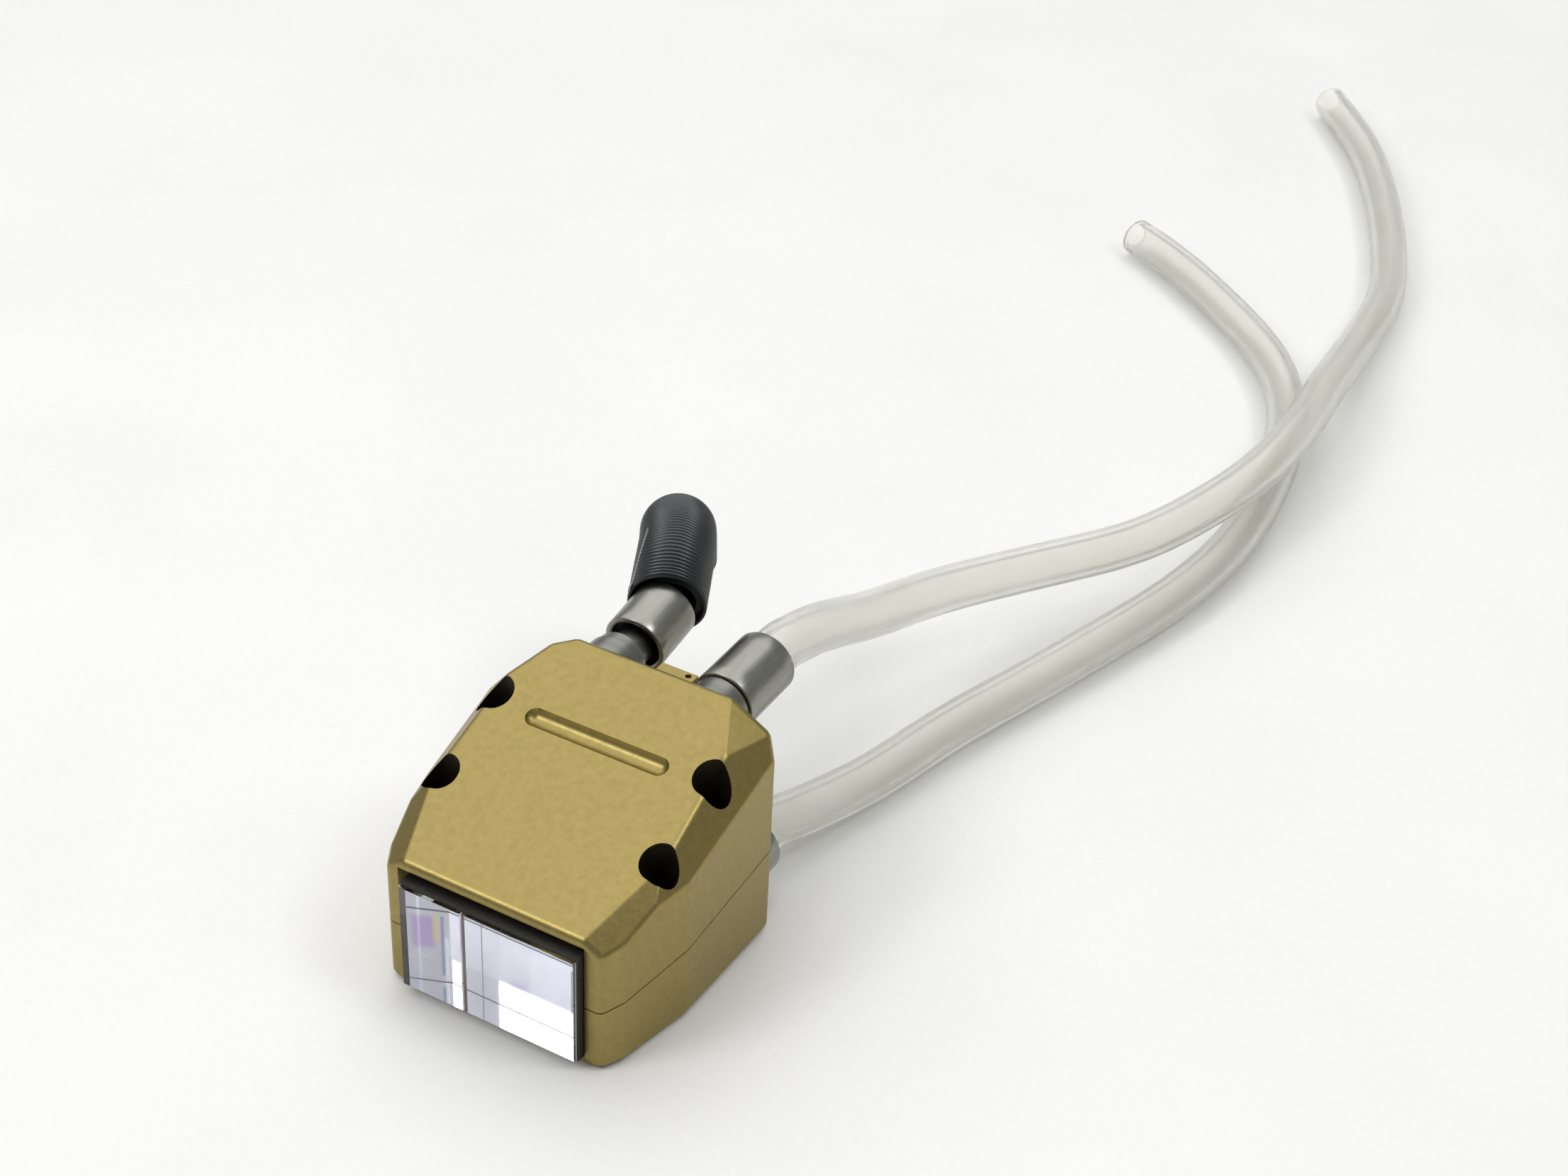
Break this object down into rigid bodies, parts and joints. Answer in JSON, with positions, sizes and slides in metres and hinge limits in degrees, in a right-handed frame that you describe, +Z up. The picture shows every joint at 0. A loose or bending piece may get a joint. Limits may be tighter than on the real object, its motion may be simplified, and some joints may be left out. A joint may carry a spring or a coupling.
{
  "type": "spectroscope head",
  "caption": "Palm-size wedge-shaped optical head: split gold housing, glass prism window, screw bores, cooling hoses on push sleeves and a ribbed cable boot.",
  "frame": {"origin": "centre of the housing's flat bottom face, half way between its front and rear faces", "axes": "+Z up out of the sloping top, -Y out of the prism window, +X to the right when looking into the rear from the window side (the side of the water hoses)"},
  "size_m": [0.0778, 0.3832, 0.0428],
  "materials": {
    "gold_anodised": "satin gold anodised or lacquered aluminium",
    "prism_glass": "polished optical glass",
    "bronze_foil": "thin dull foil",
    "black_plastic": "matte black",
    "blackened_steel": "blackened screw steel",
    "bright_steel": "turned steel",
    "grey_aluminium": "machined aluminium",
    "board_green": "solder-masked circuit board",
    "grey_pad": "soft heat-conducting pad",
    "lead_black": "soft cable jacket",
    "cold_block_metal": "milled copper alloy",
    "seal_rubber": "black sealing rubber",
    "boot_black": "close-wound black sheath, satin",
    "liner_teal": "dark inner sleeve",
    "clear_silicone": "milky clear silicone"
  },
  "bodies": {
    "housing": {"upper_shell": "gold_anodised", "lower_shell": "gold_anodised", "left_prism": "prism_glass", "right_prism": "prism_glass", "prism_divider": "bronze_foil", "light_shield": "black_plastic", "prism_carrier": "black_plastic", "slit_plate": "bright_steel", "optics_bench": "grey_aluminium", "lens_barrel": "grey_aluminium", "collimating_lens": "prism_glass", "lens_retainer": "black_plastic", "detector_chip": "black_plastic", "detector_board": "board_green", "board_connector": "black_plastic", "signal_lead": "lead_black", "thermal_pad": "grey_pad", "cold_block_cover": "grey_aluminium", "cover_seal": "seal_rubber", "cold_block": "cold_block_metal", "shell_screw_1": "blackened_steel", "shell_screw_2": "blackened_steel", "shell_screw_3": "blackened_steel", "shell_screw_4": "blackened_steel", "dowel_left": "blackened_steel", "dowel_right": "blackened_steel", "hose_nipple_upper": "bright_steel", "upper_washer": "seal_rubber", "hose_nipple_lower": "bright_steel", "lower_washer": "seal_rubber", "hose_ferrule": "bright_steel", "cable_nipple": "bright_steel", "cable_washer": "seal_rubber", "water_hose_upper": "clear_silicone", "water_hose_lower": "clear_silicone"},
    "sleeve": {"hose_sleeve": "bright_steel"},
    "cable_end": {"cable_sleeve": "bright_steel", "cable_liner": "liner_teal", "cable_boot": "boot_black"}
  },
  "joints": [
    {"name": "hose_sleeve_slide", "type": "slide", "parent": "housing", "child": "sleeve", "axis": [0, 1, 0], "range_m": [0, 0.003]},
    {"name": "cable_swivel", "type": "hinge", "parent": "housing", "child": "cable_end", "pos_m": [-0.009, 0.03025, 0.0335], "axis": [0, 1, 0], "range_deg": [-35, 35]}
  ]
}
